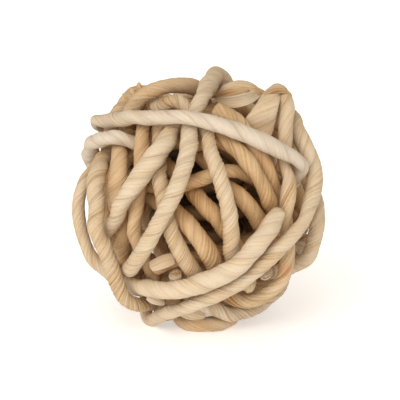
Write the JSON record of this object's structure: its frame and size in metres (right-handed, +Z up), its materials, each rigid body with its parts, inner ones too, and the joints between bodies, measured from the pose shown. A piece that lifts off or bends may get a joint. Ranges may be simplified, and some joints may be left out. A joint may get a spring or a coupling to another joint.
{
  "type": "decorative rope ball",
  "caption": "Loose decorative ball wound from thick twisted maize-husk rope, with tucked and cut rope ends showing between crossing turns.",
  "frame": {"origin": "on the table under the ball, at the middle of its box in plan", "axes": "+Z up from the rest spot; -Y is the side the picture shows, leaned back a little; +X is to the viewer's right"},
  "size_m": [0.0772, 0.0794, 0.0774],
  "materials": {
    "pale_husk": "matte",
    "cream_husk": "matte",
    "tan_husk": "matte",
    "brown_husk": "matte"
  },
  "bodies": {
    "root": {"innermost_rope": "brown_husk", "inner_cross_rope": "brown_husk", "left_inner_rope": "tan_husk", "tan_inner_rope": "tan_husk", "middle_inner_rope": "cream_husk", "second_diagonal_rope": "cream_husk", "top_left_rope": "tan_husk", "main_diagonal_rope": "cream_husk", "lower_front_rope": "cream_husk", "right_kinked_rope": "cream_husk", "left_stub_rope": "pale_husk", "right_side_rope": "cream_husk", "pale_band_rope": "pale_husk"}
  },
  "joints": []
}
